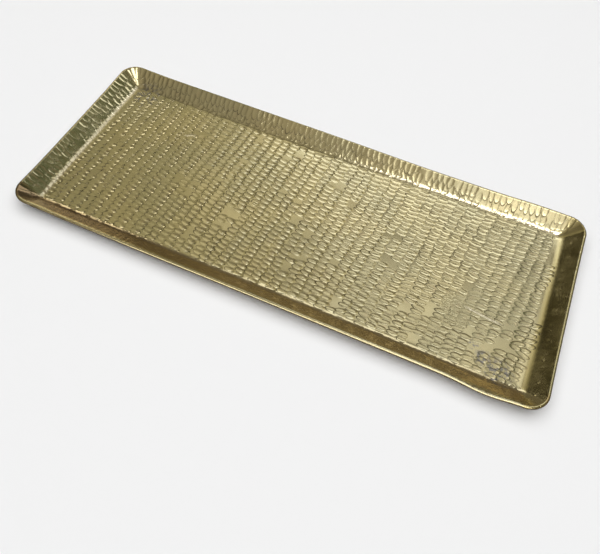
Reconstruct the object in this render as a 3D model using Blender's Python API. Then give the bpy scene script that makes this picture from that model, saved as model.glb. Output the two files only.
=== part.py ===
"""Shallow rectangular brass tray with flared walls and a wired (rolled) edge.

Two pieces, in metres, +Z up, +X along the length. The origin is the centre of the tray's underside.

pan        one brass sheet: a flat floor, four flared walls, and an edge curled over the wire
rim_wire   a closed ring of steel wire that lies inside the curled edge and stiffens it

Both are skinned from rings. A ring is a rounded rectangle that runs round the tray at one point of the
section of the sheet or the wire.
"""

import math

import bmesh
import bpy

# Overall size, measured over the outside of the curled edge.
LENGTH = 0.508
WIDTH = 0.209
RIM_HEIGHT = 0.0102  # from the floor's upper face to the centre of the curled edge

# Sheet, wire and curled edge.
SHEET = 0.0007
WIRE_RADIUS = 0.0006
WIRE_GAP = 0.0003
CURL_SWEEP = math.radians(280)  # leaves a slit under the wall, so the curl isn't a sealed tube

# How far the walls lean out, from the crease at the floor to the outside of the edge.
END_FLARE = 0.0202
SIDE_FLARE = 0.0179
CREASE_RADIUS = 0.005  # the inside of the bend between floor and wall

# Corners seen from above, and the small rise of the edge at each corner.
FLOOR_CORNER_RADIUS = 0.004
RIM_CORNER_RADIUS = 0.017
CORNER_LIFT = 0.0015
LIFT_REACH = 0.035

# Facets.
CREASE_STEPS = 3
CURL_STEPS = 14
WIRE_SIDES = 12
CORNER_STEPS = 7
LONG_SIDE_STEPS = 12
SHORT_SIDE_STEPS = 6
SMOOTH_BELOW = math.radians(35)

# Worked out from the sizes above.
CURL_INSIDE = WIRE_RADIUS + WIRE_GAP
CURL_OUTSIDE = CURL_INSIDE + SHEET
RIM_CENTRE_Z = SHEET + RIM_HEIGHT


class Wall:
    """The section through one wall. u runs outwards from the sharp crease, z up from the underside."""

    def __init__(self, flare):
        self.rim_centre_u = flare - CURL_OUTSIDE
        reach = math.hypot(self.rim_centre_u, RIM_HEIGHT)
        towards_rim = math.atan2(RIM_HEIGHT, self.rim_centre_u)
        # The sloping face starts at the crease and touches the outside of the curl.
        self.slope = towards_rim + math.asin(CURL_OUTSIDE / reach)

    def crease_point(self, turned, radius):
        """A point on the bend, after turning up through an angle from the floor."""
        centre_u = -CREASE_RADIUS * math.tan(self.slope / 2)
        centre_z = SHEET + CREASE_RADIUS
        return (
            centre_u + radius * math.sin(turned),
            centre_z - radius * math.cos(turned),
        )

    def rim_point(self, turned, radius):
        """A point about the centre of the rim, after turning over from where the wall meets it."""
        angle = math.pi / 2 + self.slope - turned
        return (
            self.rim_centre_u + radius * math.cos(angle),
            RIM_CENTRE_Z + radius * math.sin(angle),
        )

    def sheet_section(self):
        """From the floor's upper face, up the wall, over the curl, and back below to the underside."""
        bends = [self.slope * i / CREASE_STEPS for i in range(CREASE_STEPS + 1)]
        turns = [CURL_SWEEP * i / CURL_STEPS for i in range(CURL_STEPS + 1)]
        upper_face = [self.crease_point(bend, CREASE_RADIUS) for bend in bends]
        curl_outside = [self.rim_point(turn, CURL_OUTSIDE) for turn in turns]
        curl_inside = [self.rim_point(turn, CURL_INSIDE) for turn in reversed(turns)]
        under_face = [self.crease_point(bend, CREASE_RADIUS + SHEET) for bend in reversed(bends)]
        return upper_face + curl_outside + curl_inside + under_face

    def wire_section(self):
        turns = [2 * math.pi * i / WIRE_SIDES for i in range(WIRE_SIDES)]
        return [self.rim_point(turn, WIRE_RADIUS) for turn in turns]


def corner_radius(u):
    """The corner grows from the floor's radius at the crease to the rim's at the outside of the edge."""
    return FLOOR_CORNER_RADIUS + (RIM_CORNER_RADIUS - FLOOR_CORNER_RADIUS) * u / SIDE_FLARE


def rounded_rectangle(half_x, half_y, radius):
    """Stations (x, y, share) anticlockwise from the +X end. share is 0 on an end and 1 on a long side."""
    stations = []
    for corner, (sign_x, sign_y) in enumerate([(1, 1), (-1, 1), (-1, -1), (1, -1)]):
        leaves_end = corner % 2 == 0
        for step in range(CORNER_STEPS + 1):
            share = step / CORNER_STEPS
            angle = math.pi / 2 * (corner + share)
            x = sign_x * (half_x - radius) + radius * math.cos(angle)
            y = sign_y * (half_y - radius) + radius * math.sin(angle)
            stations.append((x, y, share if leaves_end else 1 - share))
        # The straight run to the next corner: a long side after an even corner, an end after an odd one.
        steps = LONG_SIDE_STEPS if leaves_end else SHORT_SIDE_STEPS
        for step in range(1, steps):
            across = 1 - 2 * step / steps
            run_x = x * across if leaves_end else x
            run_y = y if leaves_end else y * across
            stations.append((run_x, run_y, float(leaves_end)))
    return stations


def corner_rise(x, y, z):
    """How far the rise of the edge near a corner lifts this point. It fades out down the wall."""
    from_end = LENGTH / 2 - abs(x)
    from_side = WIDTH / 2 - abs(y)
    nearness = math.exp(-(from_end ** 2 + from_side ** 2) / LIFT_REACH ** 2)
    return CORNER_LIFT * nearness * max(0.0, z - SHEET) / RIM_HEIGHT


def rings_of(end_section, side_section):
    """One ring for each point of the section, which leans a little more at the ends than at the sides."""
    rings = []
    for (end_u, end_z), (side_u, side_z) in zip(end_section, side_section):
        half_x = LENGTH / 2 - END_FLARE + end_u
        half_y = WIDTH / 2 - SIDE_FLARE + side_u
        ring = []
        for x, y, share in rounded_rectangle(half_x, half_y, corner_radius(side_u)):
            z = end_z + share * (side_z - end_z)
            ring.append((x, y, z + corner_rise(x, y, z)))
        rings.append(ring)
    return rings


def skin(mesh_maker, lower, upper):
    """Quads between two rings of vertices."""
    count = len(lower)
    for i in range(count):
        j = (i + 1) % count
        mesh_maker.faces.new((lower[i], lower[j], upper[j], upper[i]))


def object_from_rings(name, rings, closed_section):
    """Skins the rings. An open section is closed by a flat face on its first and its last ring."""
    mesh_maker = bmesh.new()
    loops = [[mesh_maker.verts.new(point) for point in ring] for ring in rings]
    for lower, upper in zip(loops, loops[1:]):
        skin(mesh_maker, lower, upper)
    if closed_section:
        skin(mesh_maker, loops[-1], loops[0])
    else:
        mesh_maker.faces.new(loops[0])
        mesh_maker.faces.new(reversed(loops[-1]))
    bmesh.ops.recalc_face_normals(mesh_maker, faces=mesh_maker.faces)
    mesh = bpy.data.meshes.new(name)
    mesh_maker.to_mesh(mesh)
    mesh_maker.free()
    mesh.shade_smooth()
    mesh.set_sharp_from_angle(angle=SMOOTH_BELOW)
    piece = bpy.data.objects.new(name, mesh)
    bpy.context.scene.collection.objects.link(piece)
    return piece


def metal(name, colour, roughness):
    material = bpy.data.materials.new(name)
    material.use_nodes = True
    shader = material.node_tree.nodes["Principled BSDF"]
    shader.inputs["Base Color"].default_value = (*colour, 1.0)
    shader.inputs["Metallic"].default_value = 1.0
    shader.inputs["Roughness"].default_value = roughness
    return material


def main():
    for old in list(bpy.data.objects):
        bpy.data.objects.remove(old, do_unlink=True)

    end_wall = Wall(END_FLARE)
    side_wall = Wall(SIDE_FLARE)

    pan_rings = rings_of(end_wall.sheet_section(), side_wall.sheet_section())
    pan = object_from_rings("pan", pan_rings, closed_section=False)
    pan.data.materials.append(metal("brass", (0.62, 0.52, 0.30), 0.32))

    wire_rings = rings_of(end_wall.wire_section(), side_wall.wire_section())
    rim_wire = object_from_rings("rim_wire", wire_rings, closed_section=True)
    rim_wire.data.materials.append(metal("steel_wire", (0.50, 0.50, 0.50), 0.45))


main()
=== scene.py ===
"""Looks of the hammered brass tray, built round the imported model. Metres, +Z up, +X along the tray.

The pan is one mesh: a structured grid over the floor and the flared walls, pressed with hammer marks,
then the curled edge, then a coarser grid for the underside. Each wall's section repeats the CAD's, apart
from the bend at the floor.
"""

import math
from collections import namedtuple

import bpy
import numpy as np
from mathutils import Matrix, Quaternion, Vector


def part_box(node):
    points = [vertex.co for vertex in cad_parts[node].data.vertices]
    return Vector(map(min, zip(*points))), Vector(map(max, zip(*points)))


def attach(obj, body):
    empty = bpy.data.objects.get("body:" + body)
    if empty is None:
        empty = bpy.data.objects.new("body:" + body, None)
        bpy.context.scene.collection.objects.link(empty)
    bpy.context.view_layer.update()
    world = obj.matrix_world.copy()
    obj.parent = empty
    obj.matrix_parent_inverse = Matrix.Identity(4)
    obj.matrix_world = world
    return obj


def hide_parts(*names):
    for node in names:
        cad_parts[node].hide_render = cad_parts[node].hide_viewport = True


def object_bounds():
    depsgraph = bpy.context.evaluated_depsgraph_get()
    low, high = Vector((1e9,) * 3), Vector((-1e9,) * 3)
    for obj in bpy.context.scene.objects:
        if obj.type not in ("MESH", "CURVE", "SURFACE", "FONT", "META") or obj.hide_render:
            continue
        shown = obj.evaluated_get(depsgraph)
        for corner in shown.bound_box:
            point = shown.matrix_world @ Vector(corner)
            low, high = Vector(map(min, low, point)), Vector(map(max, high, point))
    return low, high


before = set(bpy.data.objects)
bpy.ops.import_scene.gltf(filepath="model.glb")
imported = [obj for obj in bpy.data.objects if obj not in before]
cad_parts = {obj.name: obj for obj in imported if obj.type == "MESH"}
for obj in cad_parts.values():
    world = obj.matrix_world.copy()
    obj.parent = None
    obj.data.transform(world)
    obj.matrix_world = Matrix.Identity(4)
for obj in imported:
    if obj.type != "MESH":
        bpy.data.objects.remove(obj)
CAD_LOW, CAD_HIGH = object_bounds()

# ---------------------------------------------------------------- sizes that the CAD model also has

SHEET = 0.0007
WIRE_RADIUS = 0.0006
END_FLARE = 0.0202
SIDE_FLARE = 0.0179
FLOOR_CORNER_RADIUS = 0.004
RIM_CORNER_RADIUS = 0.017
CORNER_LIFT = 0.0015
LIFT_REACH = 0.035
CURL_SWEEP = math.radians(280)

# Read from the frame.
WIRE_LOW, WIRE_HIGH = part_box("rim_wire")
HALF_LENGTH = CAD_HIGH[0]
HALF_WIDTH = CAD_HIGH[1]
CURL_OUTSIDE = HALF_LENGTH - WIRE_HIGH.x + WIRE_RADIUS
CURL_INSIDE = CURL_OUTSIDE - SHEET
RIM_HEIGHT = WIRE_LOW.z + WIRE_RADIUS - SHEET
CREASE_X = HALF_LENGTH - END_FLARE
CREASE_Y = HALF_WIDTH - SIDE_FLARE

# ---------------------------------------------------------------- the bend between floor and wall

# The CAD model has a round bend here. It was hammered into a narrow bevel, between the floor and the wall.
BEVEL_WIDTH = 0.0030
BEVEL_SHARE = 0.84  # its slope as a share of the wall's
# How soft the bends below and above the bevel are. The right and the near wall were bent over a rounder
# edge than the other two.
BEND_REACH = (0.0012, 0.0006)
ROUND_BEND_REACH = (0.0030, 0.0016)
# The band of the bevel that gets a painted highlight: its middle outside the sharp crease, and how far it
# reaches.
HIGHLIGHT_BAND = (0.0008, 0.0019)
HIGHLIGHT_FROM_X = (-0.02, 0.08)  # along the far side it begins between these

# ---------------------------------------------------------------- mesh resolution

GRID_STEP_X = 0.00052
GRID_STEP_Y = 0.00037
CORNER_INSET = 0.006  # the corner block of the grid starts this far inside the crease
CORNER_CELLS = 44
CURL_OUTSIDE_STEPS = 12
CURL_INSIDE_STEPS = 8
WIRE_SIDES = 10

# ---------------------------------------------------------------- hammer marks

# Two sizes hold at the left and at the right end of the tray, and three at STATIONS, unless a comment says
# otherwise. A RANGE is what a size is multiplied by at random, and an ERROR the spread of a place or a turn.
SEED = 20
STATIONS = (0.0, 0.55, 1.0)  # shares of the way along the tray

# The floor's columns of marks. They were struck from both ends of the tray towards LAST_STRUCK_X.
FIRST_COLUMN = 0.003  # from the left crease
COLUMN_PITCH = (0.0084, 0.0100)
PITCH_RANGE = (0.97, 1.03)
COLUMN_LEAN = (0.03, 0.13)
COLUMN_SLIP = (0.0002, 0.0010)  # error in how neighbouring columns are staggered
COLUMN_SWAY = (0.0006, 0.022)  # sideways, and its length over 2 pi
LEAN_ERROR = 0.01
LAST_STRUCK_X = 0.08
DEEP_COLUMN = (1.1, 1.0)  # share of the depth and of the heel, in every other column
SHALLOW_COLUMN = (0.9, 0.45)  # and in the others
MARK_PITCH = 0.0052
ROW_SWAY = (0.0010, 4, 5 / 1.3)  # along the column, and its length over 2 pi in rows and in columns
PLACE_ERROR = (0.0005, 0.0004)  # along X and Y
SIDE_MARGIN = 0.0010  # no mark's middle is nearer to the crease
RIGHT_MARGIN = 0.0018

# Each mark is an oval bowl. At its right end it has a deeper heel, where the hammer leant over.
MARK_DEPTH = (0.00012, 0.00021, 0.00023)
MARK_HALF_WIDTH = 0.0026
LENGTH_SHARE = 0.58  # half its length, as a share of the columns' pitch
OVAL_POWER = 1.85  # 2 is an ellipse, more is squarer at the ends
BOWL_POWER = (1.1, 1.3, 2.1)  # 1 is a round bowl, more is flatter with a steeper edge
BOWL_LEAN = 0.36  # how far right of its middle a mark is deepest, in the middle of the tray
HEEL_DEPTH = (0.00056, 0.00003)
# The heel's place along the mark, and its reach along and across it, as shares of half its size.
HEEL_PLACE = 0.50
HEEL_LENGTH = 0.34
HEEL_WIDTH = 0.68
DEEPEST_MARK = 0.8 * SHEET  # so that none goes through the sheet
STRIKE_REACH = 1.3  # a strike is felt this share of its half length, plus its half width, from its middle
EDGE_SHARE = 0.22  # width of a mark's edge, as a share of its size
FLATTENING = (0.75, 0.95, 0.98)  # how much of the earlier marks a strike flattens
LENGTH_RANGE = (0.82, 1.14)
WIDTH_RANGE = (0.86, 1.12)
DEPTH_RANGE = (0.7, 1.2)
HEEL_RANGE = (0.5, 1.2)
TURN_ERROR = math.radians(6)

# Dirt in a mark's outline, with painted shade that makes it darkest on one side. Towards the right end that
# side turns.
SHADED_SIDE = (math.radians(175), math.radians(60))
SHADED_SIDE_TURNS_FROM = 0.8  # as a share of the way along
DARK_OUTLINE_DEPTH = 0.00013  # a shallower mark has a fainter dark outline
OUTLINE_SHARE = 0.27  # width of the dark line, as a share of the mark's size
OUTLINE_STRENGTH = (0.7, 1.05)  # at the left end, and from the middle of the tray on
OUTLINE_EVENNESS = 0.2  # how much more evenly it goes round, at the right end

# Ellipses without marks, larger towards the right.
BARE_PATCHES = 50
BARE_PLACES = (0.95, 0.90)  # how far out they lie, as shares of the floor
BARE_HALF_LENGTH = (0.003, 0.008)  # smallest and largest
BARE_HALF_WIDTH = (0.003, 0.0055)  # smallest and largest
BARE_GROWTH = 0.3

# Rows of marks round the walls: share of the way up, and half length seen from above.
WALL_ROWS = ((0.12, 0.0032), (0.42, 0.0046), (0.82, 0.0058))
WALL_MARK_PITCH = 0.0056
WALL_MARK_HALF_WIDTH = 0.0029
WALL_MARK_DEPTH = 0.00023
WALL_HEEL_DEPTH = 0.00013
WALL_PLACE_ERROR = 0.0009
WALL_TURN_ERROR = math.radians(7)
WALL_PITCH_RANGE = (0.8, 1.2)
WALL_LENGTH_RANGE = (0.75, 1.15)
WALL_WIDTH_RANGE = (0.8, 1.15)
WALL_DEPTH_RANGE = (0.6, 1.3)
WALL_HEEL_RANGE = (0.2, 1.2)
MISSING_SHARE = 0.06
QUIET_WALLS = 0.32  # depth of the marks on the near wall, against those on the far wall
LEFT_LOUDNESS = 0.85  # how far the left wall is from quiet to loud
RIGHT_QUIETNESS = 0.5  # how much shallower the right wall's are again

# Clusters of narrow strikes, where the edge of the hammer bounced: centre, rows, columns.
BOUNCES = (
    ((0.160, -0.030), 9, 2),
    ((0.168, -0.044), 6, 2),
    ((-0.047, -0.004), 3, 1),
    ((0.052, -0.012), 3, 1),
)
BOUNCE_PITCH = (0.0085, 0.0022)  # along X and Y
BOUNCE_ERROR = (0.0006, 0.0003)  # along X and Y
BOUNCE_HALF_LENGTH = 0.0043
BOUNCE_HALF_WIDTH = 0.0012
BOUNCE_TURN = (-5, 5)  # the usual turn and its error, in degrees
BOUNCE_LENGTH_RANGE = (0.8, 1.1)
BOUNCE_DEPTH_RANGE = (0.8, 1.2)

# Long scrapes, rubbed bright: centre, half length, turn in degrees.
SCRAPES = (
    ((0.187, -0.030), 0.018, -7),
    ((-0.148, 0.048), 0.007, 30),
)
SCRAPE_HALF_WIDTH = 0.0013
SCRAPE_DEPTH = 0.000294

# ---------------------------------------------------------------- faults of handwork

# Side (+1 far, -1 near), place along X, reach, push outwards, lift.
EDGE_FAULTS = (
    (1, 0.085, 0.060, -0.0009, 0.0),
    (1, 0.205, 0.030, 0.0011, 0.0004),
    (-1, 0.205, 0.022, 0.0020, -0.0008),
    (-1, -0.120, 0.080, 0.0004, 0.0),
)
# Waves of the floor: length over 2 pi in X and in Y, phase, height.
FLOOR_WAVES = (
    (0.021, 0.034, 0.7, 0.00016),
    (-0.013, 0.017, 2.1, 0.00010),
    (0.045, -0.019, 4.0, 0.00016),
)
WAVE_MARGIN = 0.03  # they fade out this far inside the edge
FAULT_LIMIT = 1.2  # the edge's faults grow with height up to this share of the rim's height
# Where there is no mark, the underside lies this far above the CAD's. A mark pushes it down by this share of
# its own depth, and at most back to the CAD's.
UNDER_CLEARANCE = 0.00012
UNDER_SHARE = 0.6
MARKED_CURL = 1 / 3  # the share of the curl over which the wall's marks fade out

# ---------------------------------------------------------------- dirt, painted shade and highlights, and colours

# Dark stains on the floor: centre and reach.
STAINS = (
    ((-0.218, 0.078), 0.020),
    ((0.212, -0.078), 0.016),
    ((0.197, -0.070), 0.009),
    ((0.187, -0.061), 0.006),
)
STAIN_GROWTH = 1.4  # how fast a stain darkens inwards
STAIN_STRENGTH = 0.75

# Painted shade on the near and the right wall, darker where the near wall meets the left one: the places
# between which it begins and ends. The bead is free of it.
NEAR_SHADE = ((-0.1015, -0.0995), (-0.0890, -0.0832))
RIGHT_SHADE = ((0.2500, 0.2512), (0.2330, 0.2372))
SHADE_SPOT = ((-0.240, -0.096, 0.006), 0.040, 0.210)

BRASS = (0.77, 0.66, 0.375, 1)
DULL_BRASS = (0.70, 0.615, 0.365, 1)
RED_BRASS = (0.72, 0.56, 0.34, 1)
# Lighter brass: the rubbed scrapes, and the painted highlight on the bevels.
RUBBED_AND_HIGHLIGHT_BRASS = (0.95, 0.84, 0.58, 1)
# Painted shade on the walls: the near wall, its left corner, and the right wall.
NEAR_SHADED = (0.70, 0.54, 0.28, 1)
CORNER_SHADED = (0.27, 0.19, 0.10, 1)
RIGHT_SHADED = (0.67, 0.56, 0.28, 1)
# Dirt and painted shade in the marks' outlines.
DIRT_AND_SHADE = (0.15, 0.12, 0.06, 1)
STAINED = (0.30, 0.285, 0.295, 1)
STEEL = (0.42, 0.42, 0.43, 1)
RUST = (0.22, 0.13, 0.08, 1)

# Patterns of noise: scale, detail, and the noise at which each begins and is full.
DULL_AREAS = (16, 3, 0.38, 0.62)
RED_SPECKS = (210, 2, 0.55, 0.75)
DIRT_AND_SHADE_AREAS = (45, 3, 0.35, 0.65)
STAIN_SPECKS = (330, 3, 0.48, 0.60)
ROUGH_AREAS = (60, 4, 0.3, 0.7)
RUST_SPECKS = (140, 3, 0.55, 0.7)
WIRE_GRAIN = (400, 2, 0.3, 0.7)

RED_STRENGTH = 0.35
DIRT_AND_SHADE_SHARE = (0.35, 0.95)  # outside the darker areas, and inside them
DARK_OUTLINE = (0.35, 0.85)  # how near the outline the dirt and painted shade begin and are full
RUBBED_AND_HIGHLIGHT_SPAN = (0.1, 0.9)  # how strong the rubbing and painted highlight are where a place begins to be bright, and is brightest
CLEAN_WHERE_BRIGHT = (0.1, 0.7)  # and where its dirt and painted shade begin to go, and the least is left
DIRT_AND_SHADE_ON_BRIGHT = 0.3
BRASS_ROUGHNESS = (0.15, 0.23)
DIRT_AND_SHADE_ROUGHNESS = 0.25  # more than the brass
WIRE_ROUGHNESS = (0.3, 0.55)
# Fine bumps: scale and detail of the noise, stretch, depth.
SCRATCHES = (900, 2, (0.15, 1, 1), 0.000003)
WIRE_BUMPS = (1500, 1, (1, 1, 1), 0.00002)

# ---------------------------------------------------------------- camera

# In tray lengths, from the middle of the floor.
CAMERA_PLACE = (0.2385, -0.6534, 0.8990)
CAMERA_TARGET = (0.0509, -0.1227, 0.0)
CAMERA_ROLL = math.radians(4.98)
SENSOR_WIDTH = 36.0  # in millimetres, and so is the lens
LENS = 35.94

# ---------------------------------------------------------------- room and lights

TABLE_HALF_SIZE = 6.0
TABLE_GAP = 0.0002
TABLE_WHITE = (0.92, 0.92, 0.92, 1)
TABLE_ROUGHNESS = 0.9

# The room that the metal reflects, by the height of a direction: level or below (0) to straight up (1).
ROOM = (
    (0.0, (0.13, 0.115, 0.085)),
    (0.55, (0.18, 0.175, 0.16)),
    (0.66, (0.14, 0.13, 0.10)),
    (1.0, (0.22, 0.205, 0.16)),
)
# Lighter and darker parts of it: towards, inner and outer angle in degrees, colour.
ROOM_PARTS = (
    ((-0.10, -0.40, 0.90), 10, 35, (0.34, 0.32, 0.26)),
    ((-0.50, 0.52, 0.70), 8, 26, (0.365, 0.35, 0.25)),
    ((0.41, 0.50, 0.757), 9, 16, (0.095, 0.112, 0.066)),
    ((-0.68, 0.57, 0.47), 8, 17, (0.033, 0.030, 0.016)),
)
# Soft lights: name, place, size, target, radiance, colour. FLOOR_KEY lights the table, PANELS the metal.
FLOOR_KEY = ("floor_key", (0, 0, 2.5), (5, 5), (0, 0, 0), 1.75, (1, 1, 1))
PANELS = (
    ("ceiling_a", (0.14, 1.06, 2.0), (0.72, 0.74), (0.14, 1.06, 0), 0.50, (0.95, 0.98, 1.0)),
    ("ceiling_near", (0.15, 1.03, 1.99), (0.70, 0.40), (0.15, 1.03, 0), 0.22, (0.95, 0.98, 1.0)),
    ("ceiling_far", (0.08, 2.0, 1.99), (0.90, 0.32), (0.08, 2.0, 0), 0.60, (0.95, 0.98, 1.0)),
    ("ceiling_b", (-0.65, 1.55, 2.0), (0.86, 0.90), (-0.65, 1.55, 0), 0.32, (1.0, 0.98, 0.92)),
    ("ceiling_c", (0.69, -1.15, 2.0), (1.15, 1.15), (0.69, -1.15, 0), 0.72, (0.95, 0.97, 1.0)),
    ("ceiling_strip", (0.40, -0.48, 1.98), (1.06, 0.62), (0.40, -0.48, 0), 2.6, (0.92, 0.95, 1.0)),
    ("low_right", (0.345, 0.34, 0.60), (0.15, 0.42), (0.345, 0.34, 0), 0.42, (0.92, 0.95, 1.0)),
    ("window_right", (-0.01, 1.2, 0.93), (0.98, 0.34), (0, 0, 0), 1.5, (0.86, 0.91, 1.0)),
    ("window_left", (-0.857, 0.707, 0.41), (0.50, 0.20), (-0.15, 0, 0), 1.9, (1.0, 0.98, 0.92)),
    ("near_fill", (0.2, -2.0, 1.1), (3.2, 1.0), (0, 0, 0), 2.6, (1.0, 1.0, 1.0)),
)


class Wall:
    """The section through one wall. u runs outwards from the sharp crease, z up from the underside."""

    def __init__(self, flare, bend_reach=BEND_REACH):
        self.bend_reach = bend_reach
        centre_u = flare - CURL_OUTSIDE
        reach = math.hypot(centre_u, RIM_HEIGHT)
        self.slope = math.atan2(RIM_HEIGHT, centre_u) + math.asin(CURL_OUTSIDE / reach)
        self.end_u = centre_u - CURL_OUTSIDE * math.sin(self.slope)
        self.bevel_rise = math.tan(BEVEL_SHARE * self.slope)
        self.bevel_start = BEVEL_WIDTH * (self.bevel_rise / math.tan(self.slope) - 1)

    def height(self, u):
        """The upper face: flat, then the bevel, then the wall, with soft bends between."""
        wall_rise = math.tan(self.slope)
        lower, upper = self.bend_reach
        bevel = soft_larger(0.0, (u - self.bevel_start) * self.bevel_rise, self.bevel_rise * lower)
        return SHEET + soft_larger(bevel, u * wall_rise, (wall_rise - self.bevel_rise) * upper)


def soft_larger(first, second, softness):
    return 0.5 * (first + second + np.sqrt((first - second) ** 2 + softness ** 2))


def between(ends, share):
    return ends[0] + share * (ends[1] - ends[0])


END_WALLS = {1: Wall(END_FLARE, ROUND_BEND_REACH), -1: Wall(END_FLARE)}
SIDE_WALLS = {1: Wall(SIDE_FLARE), -1: Wall(SIDE_FLARE, ROUND_BEND_REACH)}
END_REACH = END_WALLS[1].end_u
SIDE_REACH = SIDE_WALLS[1].end_u


def corner_radius(u):
    """The radius of a ring's corner at this distance outside the crease of the long side."""
    inside = FLOOR_CORNER_RADIUS * (1 + u / CORNER_INSET)
    outside = FLOOR_CORNER_RADIUS + (RIM_CORNER_RADIUS - FLOOR_CORNER_RADIUS) * u / SIDE_FLARE
    return inside if u < 0 else outside


def even_count(length, step):
    return 2 * max(1, round(length / step / 2))


def quarter_path(start, half_x, half_y, radius, share):
    """A point at a share of the way round one corner block's ring, and how far its tangent has turned."""
    first = half_y - radius - start[1]
    arc = radius * math.pi / 2
    last = half_x - radius - start[0]
    distance = share * (first + arc + last)
    if distance <= first:
        return half_x, start[1] + distance, 0.0
    if distance < first + arc:
        turned = (distance - first) / radius
        x = half_x - radius + radius * math.cos(turned)
        y = half_y - radius + radius * math.sin(turned)
        return x, y, turned / (math.pi / 2)
    return half_x - radius - (distance - first - arc), half_y, 1.0


def base_grid():
    """The smooth upper face as rows of points, [y][x][3], from the -X -Y corner of the curl's start."""
    start = (CREASE_X - CORNER_INSET, CREASE_Y - CORNER_INSET)
    inner_x = np.linspace(-start[0], start[0], even_count(2 * start[0], GRID_STEP_X) + 1)
    inner_y = np.linspace(-start[1], start[1], even_count(2 * start[1], GRID_STEP_Y) + 1)
    shares = np.arange(1, CORNER_CELLS + 1) / CORNER_CELLS
    end_u = -CORNER_INSET + shares * (END_REACH + CORNER_INSET)
    side_u = -CORNER_INSET + shares * (SIDE_REACH + CORNER_INSET)
    outer_x = CREASE_X + end_u
    outer_y = CREASE_Y + side_u
    line_x = np.concatenate([-outer_x[::-1], inner_x, outer_x])
    line_y = np.concatenate([-outer_y[::-1], inner_y, outer_y])
    grid = np.zeros((len(line_y), len(line_x), 3))
    grid[:, :, 0] = line_x[None, :]
    grid[:, :, 1] = line_y[:, None]
    beyond_x = np.abs(line_x) - CREASE_X
    beyond_y = np.abs(line_y) - CREASE_Y
    end_z = np.where(line_x > 0, END_WALLS[1].height(beyond_x), END_WALLS[-1].height(beyond_x))
    side_z = np.where(line_y > 0, SIDE_WALLS[1].height(beyond_y), SIDE_WALLS[-1].height(beyond_y))
    grid[:, :, 2] = np.maximum(end_z[None, :], side_z[:, None])

    # The four corner blocks are laid out on rings with rounded corners.
    end_ring_z = {sign: wall.height(end_u) for sign, wall in END_WALLS.items()}
    side_ring_z = {sign: wall.height(side_u) for sign, wall in SIDE_WALLS.items()}
    last_x = len(line_x) - 1
    last_y = len(line_y) - 1
    for m in range(1, CORNER_CELLS + 1):
        half_x = outer_x[m - 1]
        half_y = outer_y[m - 1]
        radius = corner_radius(side_u[m - 1])
        for j in range(2 * m + 1):
            x, y, turned = quarter_path(start, half_x, half_y, radius, j / (2 * m))
            across = m if j <= m else 2 * m - j
            along = j if j <= m else m
            column = last_x - CORNER_CELLS + across
            row = last_y - CORNER_CELLS + along
            for sign_x, i in ((1, column), (-1, last_x - column)):
                for sign_y, k in ((1, row), (-1, last_y - row)):
                    low_z = end_ring_z[sign_x][m - 1]
                    z = low_z + turned * (side_ring_z[sign_y][m - 1] - low_z)
                    grid[k, i] = (sign_x * x, sign_y * y, z)
    return grid


def grid_normals(grid):
    """Unit normals of a grid surface, from its neighbours along both ways."""
    along_x = np.gradient(grid, axis=1)
    along_y = np.gradient(grid, axis=0)
    normals = np.cross(along_x, along_y)
    return normals / np.linalg.norm(normals, axis=2, keepdims=True)


# ---------------------------------------------------------------- hammer marks

Strike = namedtuple("Strike", "x y half_length half_width turn depth heel dirty_side")


def bare_patches(rng):
    """Ellipses on the floor where the hammer has not struck."""
    patches = []
    for _ in range(BARE_PATCHES):
        x = rng.uniform(-BARE_PLACES[0], BARE_PLACES[0]) * CREASE_X
        y = rng.uniform(-BARE_PLACES[1], BARE_PLACES[1]) * CREASE_Y
        larger = 1 + BARE_GROWTH * x / CREASE_X
        half_length = larger * rng.uniform(*BARE_HALF_LENGTH)
        half_width = larger * rng.uniform(*BARE_HALF_WIDTH)
        patches.append((x, y, half_length, half_width))
    return patches


def is_bare(patches, x, y):
    return any(((x - px) / rx) ** 2 + ((y - py) / ry) ** 2 < 1 for px, py, rx, ry in patches)


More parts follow.
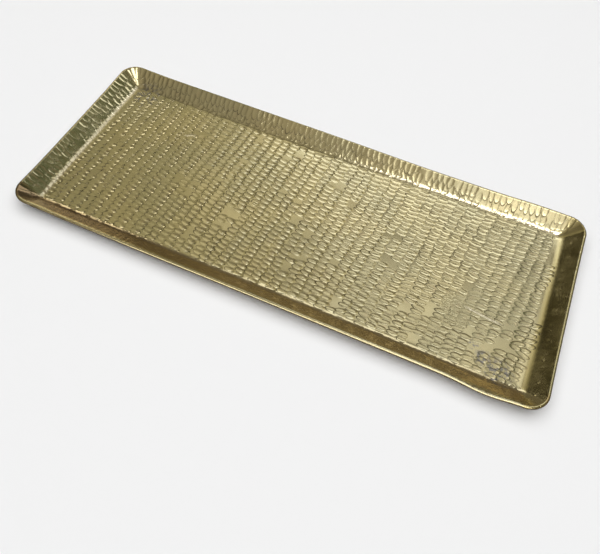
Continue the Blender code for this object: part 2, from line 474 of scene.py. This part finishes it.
def floor_marks(rng):
    """Columns of marks across the tray. Neighbours are staggered, and every other one is deeper."""
    columns = []
    patches = bare_patches(rng)
    rows = int(CREASE_Y / MARK_PITCH) + 1
    column_x = FIRST_COLUMN - CREASE_X
    while column_x < CREASE_X + COLUMN_LEAN[1] * CREASE_Y:
        share = min(1.0, 0.5 + 0.5 * column_x / CREASE_X)
        pitch = between(COLUMN_PITCH, share)
        lean = between(COLUMN_LEAN, share) + rng.normal(0, LEAN_ERROR)
        deep = len(columns) % 2 == 0
        depth_share, heel_share = DEEP_COLUMN if deep else SHALLOW_COLUMN
        depth = np.interp(share, STATIONS, MARK_DEPTH) * depth_share
        heel = between(HEEL_DEPTH, share) * heel_share
        dirty_side = np.interp(share, (SHADED_SIDE_TURNS_FROM, 1.0), SHADED_SIDE)
        phase = rng.uniform(0, 2 * math.pi)
        stagger = 0.5 * MARK_PITCH * deep + rng.normal(0, between(COLUMN_SLIP, share ** 2))
        strikes = []
        for row in range(rows, -rows - 1, -1):
            sway = ROW_SWAY[0] * math.sin(row / ROW_SWAY[1] + column_x / COLUMN_PITCH[0] / ROW_SWAY[2])
            y = row * MARK_PITCH + stagger + sway + rng.normal(0, PLACE_ERROR[1])
            sway = COLUMN_SWAY[0] * math.sin(y / COLUMN_SWAY[1] + phase)
            x = column_x + lean * y + sway + rng.normal(0, PLACE_ERROR[0])
            if abs(y) > CREASE_Y - SIDE_MARGIN or x > CREASE_X - RIGHT_MARGIN or is_bare(patches, x, y):
                continue
            strikes.append(Strike(
                x,
                y,
                LENGTH_SHARE * pitch * rng.uniform(*LENGTH_RANGE),
                MARK_HALF_WIDTH * rng.uniform(*WIDTH_RANGE),
                rng.normal(0, TURN_ERROR),
                depth * rng.uniform(*DEPTH_RANGE),
                heel * rng.uniform(*HEEL_RANGE),
                dirty_side,
            ))
        columns.append((abs(column_x - LAST_STRUCK_X), strikes))
        column_x += pitch * rng.uniform(*PITCH_RANGE)
    columns.sort(key=lambda column: -column[0])
    return [strike for _, strikes in columns for strike in strikes]


def stray_marks(rng):
    """The clusters of narrow strikes, and the long scrapes."""
    strikes = []
    pitch_x, pitch_y = BOUNCE_PITCH
    for (centre_x, centre_y), rows, columns in BOUNCES:
        for column in range(columns):
            for row in range(rows):
                strikes.append(Strike(
                    centre_x + (column - 0.5 * (columns - 1)) * pitch_x + rng.normal(0, BOUNCE_ERROR[0]),
                    centre_y + (row - 0.5 * (rows - 1)) * pitch_y + rng.normal(0, BOUNCE_ERROR[1]),
                    BOUNCE_HALF_LENGTH * rng.uniform(*BOUNCE_LENGTH_RANGE),
                    BOUNCE_HALF_WIDTH,
                    math.radians(rng.normal(*BOUNCE_TURN)),
                    MARK_DEPTH[1] * rng.uniform(*BOUNCE_DEPTH_RANGE),
                    0.0,
                    SHADED_SIDE[1],
                ))
    for (centre_x, centre_y), half_length, turn in SCRAPES:
        strikes.append(Strike(
            centre_x,
            centre_y,
            half_length,
            SCRAPE_HALF_WIDTH,
            math.radians(turn),
            SCRAPE_DEPTH,
            0.0,
            SHADED_SIDE[1],
        ))
    return strikes


def ring_point(half_x, half_y, radius, distance):
    """A point on a rounded rectangle, and its outward direction, at a distance round it from +X -Y up."""
    run_y = 2 * (half_y - radius)
    run_x = 2 * (half_x - radius)
    arc = radius * math.pi / 2
    for corner in range(4):
        along_y = corner % 2 == 0
        run = run_y if along_y else run_x
        facing = corner * math.pi / 2
        outward = np.array([math.cos(facing), math.sin(facing)])
        onward = np.array([-outward[1], outward[0]])
        reach = half_x if along_y else half_y
        if distance < run:
            return outward * reach + onward * (distance - run / 2), facing
        distance -= run
        if distance < arc:
            turned = distance / radius
            centre = outward * (reach - radius) + onward * run / 2
            angle = facing + turned
            return centre + radius * np.array([math.cos(angle), math.sin(angle)]), angle
        distance -= arc
    return np.array([half_x, -half_y + radius]), 0.0


def wall_marks(rng):
    """Rows of marks that run round the walls. Each mark lies up the slope, and the rows are staggered."""
    strikes = []
    for row, (share, half_length) in enumerate(WALL_ROWS):
        half_x = CREASE_X + share * END_REACH
        half_y = CREASE_Y + share * SIDE_REACH
        radius = corner_radius(share * SIDE_REACH)
        around = 4 * (half_x + half_y) - 8 * radius + 2 * math.pi * radius
        distance = 0.5 * WALL_MARK_PITCH * (row % 2)
        while distance < around:
            (x, y), facing = ring_point(half_x, half_y, radius, distance)
            slide = rng.normal(0, WALL_PLACE_ERROR)
            far = max(0.0, math.sin(facing))
            right = max(0.0, math.cos(facing))
            left = max(0.0, -math.cos(facing))
            # The foot of the right wall was left smooth.
            smooth_foot = row == 0 and right > 0.5
            if rng.random() > MISSING_SHARE and not smooth_foot:
                loudness = between((QUIET_WALLS, 1.0), max(far, LEFT_LOUDNESS * left))
                loudness *= 1 - RIGHT_QUIETNESS * right
                strikes.append(Strike(
                    x + slide * math.cos(facing),
                    y + slide * math.sin(facing),
                    half_length * rng.uniform(*WALL_LENGTH_RANGE),
                    WALL_MARK_HALF_WIDTH * rng.uniform(*WALL_WIDTH_RANGE),
                    facing + rng.normal(0, WALL_TURN_ERROR),
                    WALL_MARK_DEPTH * rng.uniform(*WALL_DEPTH_RANGE) * loudness,
                    WALL_HEEL_DEPTH * rng.uniform(*WALL_HEEL_RANGE) * (1 - far),
                    facing + math.pi,
                ))
            distance += WALL_MARK_PITCH * rng.uniform(*WALL_PITCH_RANGE)
    return strikes


def reach_of(strike, grid):
    """The rows and columns of the grid that a strike can reach."""
    spread = STRIKE_REACH * strike.half_length + strike.half_width
    in_corner = abs(strike.x) > CREASE_X - CORNER_INSET and abs(strike.y) > CREASE_Y - CORNER_INSET
    spread += RIM_CORNER_RADIUS / 2 if in_corner else 0.0
    line_x = grid[grid.shape[0] // 2, :, 0]
    line_y = grid[:, grid.shape[1] // 2, 1]
    first_x, last_x = np.searchsorted(line_x, (strike.x - spread, strike.x + spread))
    first_y, last_y = np.searchsorted(line_y, (strike.y - spread, strike.y + spread))
    return slice(first_y, last_y), slice(first_x, last_x)


def pressed(grid, strikes):
    """How far each point of the grid is pressed in (negative), and how near it is to the outline of a mark.

    Each strike leaves its own oval bowl and flattens most of what was there, so the last outline is whole.
    """
    depth = np.zeros(grid.shape[:2])
    heels = np.zeros(grid.shape[:2])
    outline = np.zeros(grid.shape[:2])
    for strike in strikes:
        window = reach_of(strike, grid)
        share = 0.5 + 0.5 * strike.x / HALF_LENGTH
        from_x = grid[window][:, :, 0] - strike.x
        from_y = grid[window][:, :, 1] - strike.y
        cosine = math.cos(strike.turn)
        sine = math.sin(strike.turn)
        along = (from_x * cosine + from_y * sine) / strike.half_length
        across = (from_y * cosine - from_x * sine) / strike.half_width

        # The bowl, with its deepest place off its middle.
        level = np.abs(along) ** OVAL_POWER + across ** 2
        lean = BOWL_LEAN * math.sin(math.pi * share) ** 2
        leaning = along - lean * np.maximum(1 - along ** 2, 0)
        bowl_level = np.abs(leaning) ** OVAL_POWER + across ** 2
        bowl = strike.depth * np.minimum(bowl_level ** np.interp(share, STATIONS, BOWL_POWER) - 1, 0)
        struck = np.clip((1 - level) / EDGE_SHARE + 0.5, 0, 1)
        kept = depth[window] * (1 - struck * np.interp(share, STATIONS, FLATTENING))
        depth[window] = np.minimum(kept, bowl)
        heel = np.exp(-((along - HEEL_PLACE) / HEEL_LENGTH) ** 2 - (across / HEEL_WIDTH) ** 2)
        heels[window] = np.maximum(heels[window], strike.heel * heel)

        # The dark line round it: dirt all round, and painted shade on one side.
        around = np.arctan2(from_y, from_x) - strike.dirty_side
        even = OUTLINE_EVENNESS * share
        ring = np.exp(-((level - 1) / OUTLINE_SHARE) ** 2) * (0.5 + even + (0.5 - even) * np.cos(around))
        ring *= np.interp(share, (0.0, 0.5), OUTLINE_STRENGTH) * min(1.0, strike.depth / DARK_OUTLINE_DEPTH)
        outline[window] = np.maximum(outline[window] * (1 - struck), ring)
    return np.maximum(depth - heels, -DEEPEST_MARK), outline


# ---------------------------------------------------------------- the pan's mesh

def rim_loop(rows, columns):
    """Grid places (row, column) round the edge of a grid, anticlockwise seen from above."""
    lower = [(0, i) for i in range(columns - 1)]
    right = [(k, columns - 1) for k in range(rows - 1)]
    upper = [(rows - 1, i) for i in range(columns - 1, 0, -1)]
    left = [(k, 0) for k in range(rows - 1, 0, -1)]
    return np.array(lower + right + upper + left)


def around_rim(edge, normals, turned, radius):
    """Points about the rim's centre line, after turning over from where the wall meets the curl."""
    level = np.linalg.norm(normals[:, :2], axis=1, keepdims=True)
    outward = -normals[:, :2] / level
    onward = np.concatenate([outward * normals[:, 2:3], level], axis=1)
    centre = edge - normals * CURL_OUTSIDE
    return centre + radius * (normals * np.cos(turned) + onward * np.sin(turned))


def hand_shaped(points):
    """The small faults of handwork: raised corners, wandering edges, and a floor that isn't quite flat."""
    x = points[:, 0]
    y = points[:, 1]
    raised = np.clip((points[:, 2] - SHEET) / RIM_HEIGHT, 0, None)
    from_end = HALF_LENGTH - np.abs(x)
    from_side = HALF_WIDTH - np.abs(y)
    near_corner = np.exp(-(from_end ** 2 + from_side ** 2) / LIFT_REACH ** 2)
    shaped = points.copy()
    shaped[:, 2] += CORNER_LIFT * near_corner * raised
    for side, place, reach, outward, upward in EDGE_FAULTS:
        near_edge = np.clip(side * y / HALF_WIDTH, 0, 1) ** 4
        swell = np.exp(-((x - place) / reach) ** 2) * near_edge * np.clip(raised, 0, FAULT_LIMIT)
        shaped[:, 1] += side * outward * swell
        shaped[:, 2] += upward * swell
    on_floor = 1 - np.clip(raised, 0, 1)
    on_floor *= np.clip(from_side / WAVE_MARGIN, 0, 1) * np.clip(from_end / WAVE_MARGIN, 0, 1)
    for wave_x, wave_y, phase, height in FLOOR_WAVES:
        wave = 0.5 + 0.5 * np.sin(x / wave_x + y / wave_y + phase)
        shaped[:, 2] += height * wave * on_floor
    return shaped


def band(inner, outer):
    """Quads between two loops of the same length."""
    return np.stack([inner, outer, np.roll(outer, -1), np.roll(inner, -1)], axis=1)


def halving_band(fine, coarse):
    """Triangles between a loop and one with half as many points."""
    before = fine[0::2]
    middle = fine[1::2]
    after = np.roll(before, -1)
    onward = np.roll(coarse, -1)
    return np.concatenate([
        np.stack([before, coarse, middle], axis=1),
        np.stack([middle, coarse, onward], axis=1),
        np.stack([middle, onward, after], axis=1),
    ])


def grid_quads(numbers):
    """Quads of a grid of vertex numbers, facing up."""
    quads = np.stack([numbers[:-1, :-1], numbers[:-1, 1:], numbers[1:, 1:], numbers[1:, :-1]], axis=-1)
    return quads.reshape(-1, 4)


def new_mesh(name, points, faces):
    mesh = bpy.data.meshes.new(name)
    mesh.from_pydata(points.tolist(), [], [face for group in faces for face in group.tolist()])
    mesh.validate()
    mesh.shade_smooth()
    piece = bpy.data.objects.new(name, mesh)
    bpy.context.scene.collection.objects.link(piece)
    return piece


def polish_and_highlight(smooth):
    """1 where the brass is lighter: a painted highlight along the left bevel and the right half of the far
    one, and the scrapes, rubbed bright.
    """
    x = smooth[:, :, 0]
    y = smooth[:, :, 1]
    middle, reach = HIGHLIGHT_BAND
    inside_ends = np.clip((CREASE_X - x) / reach, 0, 1)
    left = np.exp(-((-x - CREASE_X - middle) / reach) ** 2) * np.clip((CREASE_Y - np.abs(y)) / reach, 0, 1)
    far = np.exp(-((y - CREASE_Y - middle) / reach) ** 2) * inside_ends
    far *= np.interp(x, HIGHLIGHT_FROM_X, (0, 1))
    bright = np.maximum(left, far)
    for (centre_x, centre_y), half_length, turn in SCRAPES:
        cosine = math.cos(math.radians(turn))
        sine = math.sin(math.radians(turn))
        along = ((x - centre_x) * cosine + (y - centre_y) * sine) / half_length
        across = ((y - centre_y) * cosine - (x - centre_x) * sine) / SCRAPE_HALF_WIDTH
        bright = np.maximum(bright, np.exp(-along ** 4 - across ** 4))
    return bright


def stain(smooth):
    """How dark the stains are: fading from the middle of each to 0 at its reach."""
    darkest = np.zeros(smooth.shape[:2])
    for centre, reach in STAINS:
        distance = np.hypot(smooth[:, :, 0] - centre[0], smooth[:, :, 1] - centre[1])
        darkest = np.maximum(darkest, np.clip(STAIN_GROWTH * (1 - distance / reach), 0, STAIN_STRENGTH))
    return darkest


def curl_rings(edge, normals, depth):
    """Loops of points along the curl: out over its outside, then back in at half as many points."""
    rings = []
    for step in range(1, CURL_OUTSIDE_STEPS + 1):
        share = step / CURL_OUTSIDE_STEPS
        fading = np.clip(1 - share / MARKED_CURL, 0, 1)
        rings.append(around_rim(edge, normals, CURL_SWEEP * share, CURL_OUTSIDE + depth[:, None] * fading))
    for step in range(CURL_INSIDE_STEPS):
        share = 1 - step / CURL_INSIDE_STEPS
        rings.append(around_rim(edge[::2], normals[::2], CURL_SWEEP * share, CURL_INSIDE))
    return rings


def build_pan(smooth, normals, depth, outline):
    """The sheet: its hammered upper face, the curl over the wire, and the faintly marked underside."""
    rows, columns = depth.shape
    upper = smooth + normals * depth[:, :, None]
    upper_numbers = np.arange(rows * columns).reshape(rows, columns)
    points = [upper.reshape(-1, 3)]
    faces = [grid_quads(upper_numbers)]
    count = rows * columns

    loop = rim_loop(rows, columns)
    around = (loop[:, 0], loop[:, 1])
    last = upper_numbers[around]
    for ring in curl_rings(smooth[around], normals[around], depth[around]):
        numbers = count + np.arange(len(ring))
        points.append(ring)
        faces.append(band(last, numbers) if len(last) == len(numbers) else halving_band(last, numbers))
        last = numbers
        count += len(ring)

    bumps = np.maximum(UNDER_CLEARANCE + UNDER_SHARE * depth[::2, ::2], 0.0)
    under = smooth[::2, ::2] - normals[::2, ::2] * (SHEET - bumps)[:, :, None]
    under_numbers = count + np.arange(under.shape[0] * under.shape[1]).reshape(under.shape[:2])
    under_loop = rim_loop(*under.shape[:2])
    points.append(under.reshape(-1, 3))
    faces.append(band(last, under_numbers[under_loop[:, 0], under_loop[:, 1]]))
    faces.append(grid_quads(under_numbers)[:, ::-1])

    pan = new_mesh("hammered_pan", hand_shaped(np.concatenate(points)), faces)
    face_values = {"outline_dirt_and_shade": outline, "polish_and_highlight": polish_and_highlight(smooth), "stain": stain(smooth)}
    for name, upper_values in face_values.items():
        values = np.zeros(len(pan.data.vertices))
        values[:rows * columns] = upper_values.reshape(-1)
        pan.data.attributes.new(name, "FLOAT", "POINT").data.foreach_set("value", values)
    return pan


def build_wire(smooth, normals):
    """The wire follows the pan's edge, with its small faults, so it stays inside the curl."""
    loop = rim_loop(*smooth.shape[:2])[::4]
    edge = smooth[loop[:, 0], loop[:, 1]]
    edge_normals = normals[loop[:, 0], loop[:, 1]]
    turns = [2 * math.pi * i / WIRE_SIDES for i in range(WIRE_SIDES)]
    points = [around_rim(edge, edge_normals, turn, WIRE_RADIUS) for turn in turns]
    numbers = np.arange(WIRE_SIDES * len(loop)).reshape(WIRE_SIDES, len(loop))
    faces = [band(numbers[i], numbers[(i + 1) % WIRE_SIDES]) for i in range(WIRE_SIDES)]
    return new_mesh("edge_wire", hand_shaped(np.concatenate(points)), faces)


# ---------------------------------------------------------------- materials

class Nodes:
    """Short ways to add and join the nodes of one material."""

    def __init__(self, name):
        self.material = bpy.data.materials.new(name)
        self.material.use_nodes = True
        self.tree = self.material.node_tree
        self.shader = self.tree.nodes["Principled BSDF"]
        self.place = self.add("ShaderNodeTexCoord").outputs["Object"]

    def add(self, kind, **settings):
        node = self.tree.nodes.new(kind)
        for setting, value in settings.items():
            setattr(node, setting, value)
        return node

    def feed(self, socket, value):
        if isinstance(value, bpy.types.NodeSocket):
            self.tree.links.new(value, socket)
        else:
            socket.default_value = value

    def attribute(self, name):
        return self.add("ShaderNodeAttribute", attribute_name=name).outputs["Fac"]

    def noise(self, scale, detail, stretch=(1, 1, 1)):
        mapping = self.add("ShaderNodeMapping")
        self.feed(mapping.inputs["Vector"], self.place)
        mapping.inputs["Scale"].default_value = stretch
        noise = self.add("ShaderNodeTexNoise")
        self.feed(noise.inputs["Vector"], mapping.outputs["Vector"])
        noise.inputs["Scale"].default_value = scale
        noise.inputs["Detail"].default_value = detail
        return noise.outputs["Fac"]

    def span(self, value, low, high, to_low=0.0, to_high=1.0):
        span = self.add("ShaderNodeMapRange", interpolation_type="SMOOTHSTEP")
        self.feed(span.inputs["Value"], value)
        span.inputs["From Min"].default_value = low
        span.inputs["From Max"].default_value = high
        span.inputs["To Min"].default_value = to_low
        span.inputs["To Max"].default_value = to_high
        return span.outputs["Result"]

    def pattern(self, settings, to_low=0.0, to_high=1.0):
        scale, detail, begins, full = settings
        return self.span(self.noise(scale, detail), begins, full, to_low, to_high)

    def calculate(self, operation, first, second):
        node = self.add("ShaderNodeMath", operation=operation)
        self.feed(node.inputs[0], first)
        self.feed(node.inputs[1], second)
        return node.outputs["Value"]

    def mix(self, share, first, second):
        node = self.add("ShaderNodeMix", data_type="RGBA")
        self.feed(node.inputs["Factor"], share)
        self.feed(node.inputs["A"], first)
        self.feed(node.inputs["B"], second)
        return node.outputs["Result"]

    def near(self, spot, inner, outer):
        """1 within the inner distance of a spot, 0 beyond the outer one."""
        distance = self.add("ShaderNodeVectorMath", operation="DISTANCE")
        self.feed(distance.inputs[0], self.place)
        distance.inputs[1].default_value = spot
        return self.span(distance.outputs["Value"], inner, outer, 1.0, 0.0)

    def bump(self, settings):
        scale, detail, stretch, depth = settings
        height = self.noise(scale, detail, stretch)
        node = self.add("ShaderNodeBump")
        self.feed(node.inputs["Height"], height)
        node.inputs["Distance"].default_value = depth
        self.feed(self.shader.inputs["Normal"], node.outputs["Normal"])


def shaded_walls(nodes, tone):
    """The tone with painted shade on the near and the right wall, darkest in the near left corner."""
    place = nodes.add("ShaderNodeSeparateXYZ")
    nodes.feed(place.inputs["Vector"], nodes.place)
    inside_bead = nodes.span(place.outputs["Y"], *NEAR_SHADE[0])
    near_wall = nodes.span(place.outputs["Y"], *NEAR_SHADE[1], 1.0, 0.0)
    near_wall = nodes.calculate("MULTIPLY", near_wall, inside_bead)
    # Painted shade: the near wall darker, darkest in its left corner.
    tone = nodes.mix(near_wall, tone, NEAR_SHADED)
    near_corner = nodes.calculate("MULTIPLY", near_wall, nodes.near(*SHADE_SPOT))
    tone = nodes.mix(near_corner, tone, CORNER_SHADED)
    inside_bead = nodes.span(place.outputs["X"], *RIGHT_SHADE[0], 1.0, 0.0)
    right_wall = nodes.span(place.outputs["X"], *RIGHT_SHADE[1])
    right_wall = nodes.calculate("MULTIPLY", right_wall, inside_bead)
    # Painted shade on the right wall.
    return nodes.mix(right_wall, tone, RIGHT_SHADED)


def brass():
    """Polished brass: changes of tone, painted shade on the near and the right wall, outlines of dirt and
    painted shade, rubbed places and painted highlights, stains and fine scratches.
    """
    nodes = Nodes("brass")
    edge = nodes.attribute("outline_dirt_and_shade")
    tone = nodes.mix(nodes.pattern(DULL_AREAS), BRASS, DULL_BRASS)
    tone = nodes.mix(nodes.pattern(RED_SPECKS, 0.0, RED_STRENGTH), tone, RED_BRASS)
    tone = shaded_walls(nodes, tone)

    dirt_and_shade_areas = nodes.pattern(DIRT_AND_SHADE_AREAS, *DIRT_AND_SHADE_SHARE)
    polish_and_highlight_mask = nodes.attribute("polish_and_highlight")
    # Painted highlight on the bevels, with the rubbed scrapes.
    tone = nodes.mix(nodes.span(polish_and_highlight_mask, *RUBBED_AND_HIGHLIGHT_SPAN), tone, RUBBED_AND_HIGHLIGHT_BRASS)
    dirt_and_shade = nodes.calculate("MULTIPLY", nodes.span(edge, *DARK_OUTLINE), dirt_and_shade_areas)
    dirt_and_shade = nodes.calculate("MULTIPLY", dirt_and_shade, nodes.span(polish_and_highlight_mask, *CLEAN_WHERE_BRIGHT, 1.0, DIRT_AND_SHADE_ON_BRIGHT))
    # Painted shade with the dirt in the outlines, darkest on one side of each mark.
    tone = nodes.mix(dirt_and_shade, tone, DIRT_AND_SHADE)

    speckle = nodes.pattern(STAIN_SPECKS)
    stained = nodes.calculate("MULTIPLY", nodes.attribute("stain"), speckle)
    tone = nodes.mix(stained, tone, STAINED)
    nodes.feed(nodes.shader.inputs["Base Color"], tone)

    nodes.shader.inputs["Metallic"].default_value = 1.0
    rough = nodes.pattern(ROUGH_AREAS, *BRASS_ROUGHNESS)
    rough = nodes.calculate("ADD", rough, nodes.calculate("MULTIPLY", dirt_and_shade, DIRT_AND_SHADE_ROUGHNESS))
    nodes.feed(nodes.shader.inputs["Roughness"], rough)
    nodes.bump(SCRATCHES)
    return nodes.material


def steel():
    """Drawn steel wire: grey and finely grained, with a little rust."""
    nodes = Nodes("steel_wire")
    tone = nodes.mix(nodes.pattern(RUST_SPECKS), STEEL, RUST)
    nodes.feed(nodes.shader.inputs["Base Color"], tone)
    nodes.shader.inputs["Metallic"].default_value = 1.0
    nodes.feed(nodes.shader.inputs["Roughness"], nodes.pattern(WIRE_GRAIN, *WIRE_ROUGHNESS))
    nodes.bump(WIRE_BUMPS)
    return nodes.material


# ---------------------------------------------------------------- stage

def aim(thing, target):
    towards = Vector(target) - thing.location
    thing.rotation_mode = "QUATERNION"
    thing.rotation_quaternion = towards.to_track_quat("-Z", "Y")


def add_camera():
    length = 2 * HALF_LENGTH
    data = bpy.data.cameras.new("camera")
    data.sensor_width = SENSOR_WIDTH
    data.lens = LENS
    camera = bpy.data.objects.new("camera", data)
    bpy.context.scene.collection.objects.link(camera)
    camera.location = Vector(CAMERA_PLACE) * length + Vector((0, 0, SHEET))
    aim(camera, Vector(CAMERA_TARGET) * length + Vector((0, 0, SHEET)))
    camera.rotation_quaternion = camera.rotation_quaternion @ Quaternion((0, 0, 1), CAMERA_ROLL)
    bpy.context.scene.camera = camera


def add_floor():
    mesh = bpy.data.meshes.new("table")
    half = TABLE_HALF_SIZE
    corners = [(-half, -half, 0), (half, -half, 0), (half, half, 0), (-half, half, 0)]
    mesh.from_pydata(corners, [], [(0, 1, 2, 3)])
    floor = bpy.data.objects.new("table", mesh)
    floor.location.z = -TABLE_GAP
    bpy.context.scene.collection.objects.link(floor)
    material = bpy.data.materials.new("table_white")
    material.use_nodes = True
    shader = material.node_tree.nodes["Principled BSDF"]
    shader.inputs["Base Color"].default_value = TABLE_WHITE
    shader.inputs["Roughness"].default_value = TABLE_ROUGHNESS
    mesh.materials.append(material)
    floor.visible_glossy = False


def add_world():
    """A dim room, lightest overhead, with a few broad lighter and darker parts."""
    world = bpy.data.worlds.new("studio")
    bpy.context.scene.world = world
    world.use_nodes = True
    nodes = world.node_tree.nodes
    links = world.node_tree.links
    direction = nodes.new("ShaderNodeTexCoord").outputs["Generated"]
    height = nodes.new("ShaderNodeSeparateXYZ")
    links.new(direction, height.inputs["Vector"])
    ramp = nodes.new("ShaderNodeValToRGB")
    links.new(height.outputs["Z"], ramp.inputs["Fac"])
    ramp.color_ramp.elements[0].position = ROOM[0][0]
    ramp.color_ramp.elements[0].color = (*ROOM[0][1], 1)
    ramp.color_ramp.elements[1].position = ROOM[-1][0]
    ramp.color_ramp.elements[1].color = (*ROOM[-1][1], 1)
    for place, colour in ROOM[1:-1]:
        ramp.color_ramp.elements.new(place).color = (*colour, 1)
    colour_so_far = ramp.outputs["Color"]
    for towards, inner, outer, colour in ROOM_PARTS:
        facing = nodes.new("ShaderNodeVectorMath")
        facing.operation = "DOT_PRODUCT"
        links.new(direction, facing.inputs[0])
        facing.inputs[1].default_value = Vector(towards).normalized()
        share = nodes.new("ShaderNodeMapRange")
        share.interpolation_type = "SMOOTHSTEP"
        links.new(facing.outputs["Value"], share.inputs["Value"])
        share.inputs["From Min"].default_value = math.cos(math.radians(outer))
        share.inputs["From Max"].default_value = math.cos(math.radians(inner))
        mix = nodes.new("ShaderNodeMix")
        mix.data_type = "RGBA"
        links.new(share.outputs["Result"], mix.inputs["Factor"])
        links.new(colour_so_far, mix.inputs["A"])
        mix.inputs["B"].default_value = (*colour, 1)
        colour_so_far = mix.outputs["Result"]
    links.new(colour_so_far, nodes["Background"].inputs["Color"])
    world.cycles_visibility.diffuse = False


def add_panel(name, place, size, target, radiance, colour, lights_metal=True):
    data = bpy.data.lights.new(name, "AREA")
    data.shape = "RECTANGLE"
    data.size, data.size_y = size
    data.color = colour
    data.energy = math.pi * size[0] * size[1] * radiance
    light = bpy.data.objects.new(name, data)
    light.location = place
    aim(light, target)
    light.visible_camera = False
    light.visible_glossy = lights_metal
    light.visible_diffuse = not lights_metal
    bpy.context.scene.collection.objects.link(light)


# ---------------------------------------------------------------- the model and the stage

smooth_face = base_grid()
face_normals = grid_normals(smooth_face)
rng = np.random.default_rng(SEED)
mark_depth, outline_dirt_and_shade = pressed(smooth_face, floor_marks(rng) + stray_marks(rng) + wall_marks(rng))

pan = build_pan(smooth_face, face_normals, mark_depth, outline_dirt_and_shade)
pan.data.materials.append(brass())
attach(pan, "root")
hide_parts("pan")

wire = build_wire(smooth_face, face_normals)
wire.data.materials.append(steel())
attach(wire, "root")
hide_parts("rim_wire")

add_camera()
add_floor()
add_panel(*FLOOR_KEY, lights_metal=False)

add_world()
for panel in PANELS:
    add_panel(*panel)
bpy.context.scene.view_settings.view_transform = "Standard"
